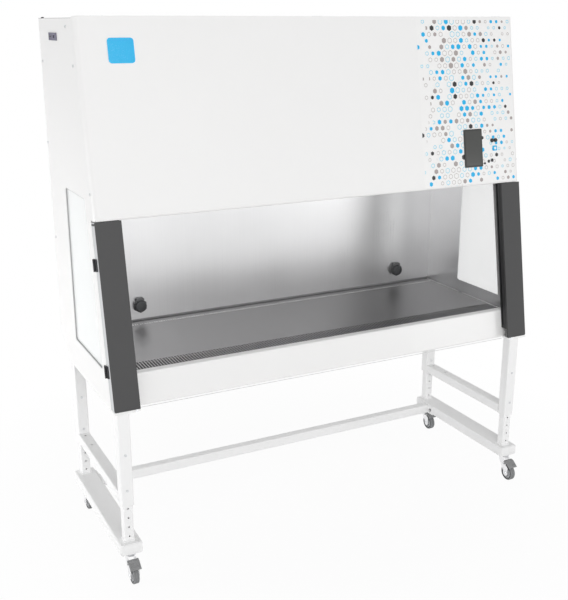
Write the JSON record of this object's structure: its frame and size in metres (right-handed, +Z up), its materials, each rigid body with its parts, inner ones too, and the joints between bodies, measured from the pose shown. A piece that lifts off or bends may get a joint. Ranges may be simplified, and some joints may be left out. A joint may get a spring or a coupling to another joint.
{
  "type": "biosafety cabinet",
  "caption": "Microbiological safety cabinet with a sloping sliding sash, slotted stainless work tray and top-hinged fascia, on a telescopic stand with swivel castors.",
  "frame": {"origin": "centre of the bounding box in plan, on the floor under the castors", "axes": "+Z up, +X to the right of a user who faces the cabinet, -Y towards that user"},
  "size_m": [1.971, 0.8075, 2.1329],
  "materials": {
    "stand_paint": "satin powder coat",
    "zinc": "bright zinc plate",
    "wheel": "matt grey tread on a lighter hub",
    "pedal": "ribbed, matt",
    "cabinet_paint": "smooth satin powder coat",
    "stainless": "fine brushed stainless",
    "window_glass": "clear, polished",
    "black_rubber": "matt",
    "black_plastic": "satin moulded",
    "filter_media": "pleated paper in a frame",
    "motor_paint": "dark satin paint",
    "blower_aluminium": "plain",
    "lamp_white": "white reflector with a frosted tube",
    "handle_aluminium": "anodised",
    "bar_metal": "satin anodised",
    "bar_dark": "dark grey, satin",
    "hinge_steel": "brushed",
    "button_grey": "satin",
    "button_cyan": "glossy"
  },
  "bodies": {
    "stand": {"feet": "stand_paint", "inner_legs": "stand_paint", "rear_crossbar": "stand_paint", "castor_races": "zinc"},
    "cabinet": {"leg_sleeves": "stand_paint", "side_rails": "stand_paint", "locking_bolts": "zinc", "side_panel_left": "cabinet_paint", "side_panel_right": "cabinet_paint", "side_liners": "stainless", "side_windows": "window_glass", "window_seals": "black_rubber", "back_panel": "cabinet_paint", "base_pan": "cabinet_paint", "top_panel": "cabinet_paint", "chamber_back_wall": "stainless", "apron": "stainless", "drain_pan": "stainless", "cable_glands": "black_plastic", "filter_frame": "stainless", "air_diffuser": "stainless", "supply_filter": "filter_media", "plenum_box": "cabinet_paint", "exhaust_filter": "filter_media", "exhaust_grille": "cabinet_paint", "blower_motor": "motor_paint", "lamp": "lamp_white", "sash_guides": "black_plastic", "bar_hinges_fixed": "hinge_steel", "top_hinges_fixed": "hinge_steel", "mains_inlet": "black_plastic"},
    "tray": {"worktop_tray": "stainless"},
    "sash": {"sash_glass": "window_glass", "sash_handle": "handle_aluminium"},
    "fascia": {"fascia_door": "cabinet_paint", "top_hinge_leaves": "hinge_steel", "touchscreen": "black_plastic"},
    "bar_left": {"bar_body_left": "bar_metal", "bar_cover_left": "bar_dark", "bar_hinge_leaves_left": "hinge_steel"},
    "bar_right": {"bar_body_right": "bar_metal", "bar_cover_right": "bar_dark", "bar_hinge_leaves_right": "hinge_steel"},
    "blower": {"blower_wheel": "blower_aluminium"},
    "button_left": {"round_button_left": "button_grey"},
    "button_right": {"round_button_right": "button_grey"},
    "power_button": {"power_button": "button_cyan"},
    "key_lock": {"key_lock": "black_plastic"},
    "fork_front_left": {"castor_fork_front_left": "zinc"},
    "wheel_front_left": {"castor_wheel_front_left": "wheel"},
    "pedal_front_left": {"brake_pedal_front_left": "pedal"},
    "fork_front_right": {"castor_fork_front_right": "zinc"},
    "wheel_front_right": {"castor_wheel_front_right": "wheel"},
    "pedal_front_right": {"brake_pedal_front_right": "pedal"},
    "fork_rear_left": {"castor_fork_rear_left": "zinc"},
    "wheel_rear_left": {"castor_wheel_rear_left": "wheel"},
    "pedal_rear_left": {"brake_pedal_rear_left": "pedal"},
    "fork_rear_right": {"castor_fork_rear_right": "zinc"},
    "wheel_rear_right": {"castor_wheel_rear_right": "wheel"},
    "pedal_rear_right": {"brake_pedal_rear_right": "pedal"}
  },
  "joints": [
    {"name": "stand_lift", "type": "slide", "parent": "stand", "child": "cabinet", "axis": [0, 0, 1], "range_m": [0, 0.2]},
    {"name": "tray_lift", "type": "slide", "parent": "cabinet", "child": "tray", "axis": [0, 0, 1], "range_m": [0, 0.025]},
    {"name": "sash_slide", "type": "slide", "parent": "cabinet", "child": "sash", "axis": [0, -0.1719, -0.9851], "range_m": [0, 0.6]},
    {"name": "fascia_hinge", "type": "hinge", "parent": "cabinet", "child": "fascia", "pos_m": [0, -0.09314, 2.1278], "axis": [-1, 0, 0], "range_deg": [0, 70]},
    {"name": "bar_left_hinge", "type": "hinge", "parent": "cabinet", "child": "bar_left", "pos_m": [-0.9805, -0.29642, 0.87], "axis": [0, -0.1719, -0.9851], "range_deg": [0, 110]},
    {"name": "bar_right_hinge", "type": "hinge", "parent": "cabinet", "child": "bar_right", "pos_m": [0.9805, -0.29642, 0.87], "axis": [0, 0.1719, 0.9851], "range_deg": [0, 110]},
    {"name": "blower_spin", "type": "hinge", "parent": "cabinet", "child": "blower", "pos_m": [-0.36, 0.24, 1.768], "axis": [0, 1, 0], "continuous": true},
    {"name": "button_left_press", "type": "slide", "parent": "fascia", "child": "button_left", "axis": [0, 0.9851, -0.1719], "range_m": [0, 0.003], "stiffness_N_per_m": 400},
    {"name": "button_right_press", "type": "slide", "parent": "fascia", "child": "button_right", "axis": [0, 0.9851, -0.1719], "range_m": [0, 0.003], "stiffness_N_per_m": 400},
    {"name": "power_press", "type": "slide", "parent": "fascia", "child": "power_button", "axis": [0, 0.9851, -0.1719], "range_m": [0, 0.002], "stiffness_N_per_m": 600},
    {"name": "key_turn", "type": "hinge", "parent": "fascia", "child": "key_lock", "pos_m": [0.827, -0.22558, 1.526], "axis": [0, -0.9851, 0.1719], "range_deg": [0, 90]},
    {"name": "swivel_front_left", "type": "hinge", "parent": "stand", "child": "fork_front_left", "pos_m": [-0.936, -0.33125, 0.11], "axis": [0, 0, 1], "continuous": true},
    {"name": "roll_front_left", "type": "hinge", "parent": "fork_front_left", "child": "wheel_front_left", "pos_m": [-0.936, -0.36625, 0.0375], "axis": [1, 0, 0], "continuous": true},
    {"name": "brake_front_left", "type": "hinge", "parent": "fork_front_left", "child": "pedal_front_left", "pos_m": [-0.936, -0.35425, 0.0845], "axis": [1, 0, 0], "range_deg": [0, 9]},
    {"name": "swivel_front_right", "type": "hinge", "parent": "stand", "child": "fork_front_right", "pos_m": [0.936, -0.33125, 0.11], "axis": [0, 0, 1], "continuous": true},
    {"name": "roll_front_right", "type": "hinge", "parent": "fork_front_right", "child": "wheel_front_right", "pos_m": [0.936, -0.36625, 0.0375], "axis": [1, 0, 0], "continuous": true},
    {"name": "brake_front_right", "type": "hinge", "parent": "fork_front_right", "child": "pedal_front_right", "pos_m": [0.936, -0.35425, 0.0845], "axis": [1, 0, 0], "range_deg": [0, 9]},
    {"name": "swivel_rear_left", "type": "hinge", "parent": "stand", "child": "fork_rear_left", "pos_m": [-0.936, 0.31575, 0.11], "axis": [0, 0, 1], "continuous": true},
    {"name": "roll_rear_left", "type": "hinge", "parent": "fork_rear_left", "child": "wheel_rear_left", "pos_m": [-0.936, 0.28075, 0.0375], "axis": [1, 0, 0], "continuous": true},
    {"name": "brake_rear_left", "type": "hinge", "parent": "fork_rear_left", "child": "pedal_rear_left", "pos_m": [-0.936, 0.29275, 0.0845], "axis": [1, 0, 0], "range_deg": [0, 9]},
    {"name": "swivel_rear_right", "type": "hinge", "parent": "stand", "child": "fork_rear_right", "pos_m": [0.936, 0.31575, 0.11], "axis": [0, 0, 1], "continuous": true},
    {"name": "roll_rear_right", "type": "hinge", "parent": "fork_rear_right", "child": "wheel_rear_right", "pos_m": [0.936, 0.28075, 0.0375], "axis": [1, 0, 0], "continuous": true},
    {"name": "brake_rear_right", "type": "hinge", "parent": "fork_rear_right", "child": "pedal_rear_right", "pos_m": [0.936, 0.29275, 0.0845], "axis": [1, 0, 0], "range_deg": [0, 9]}
  ]
}
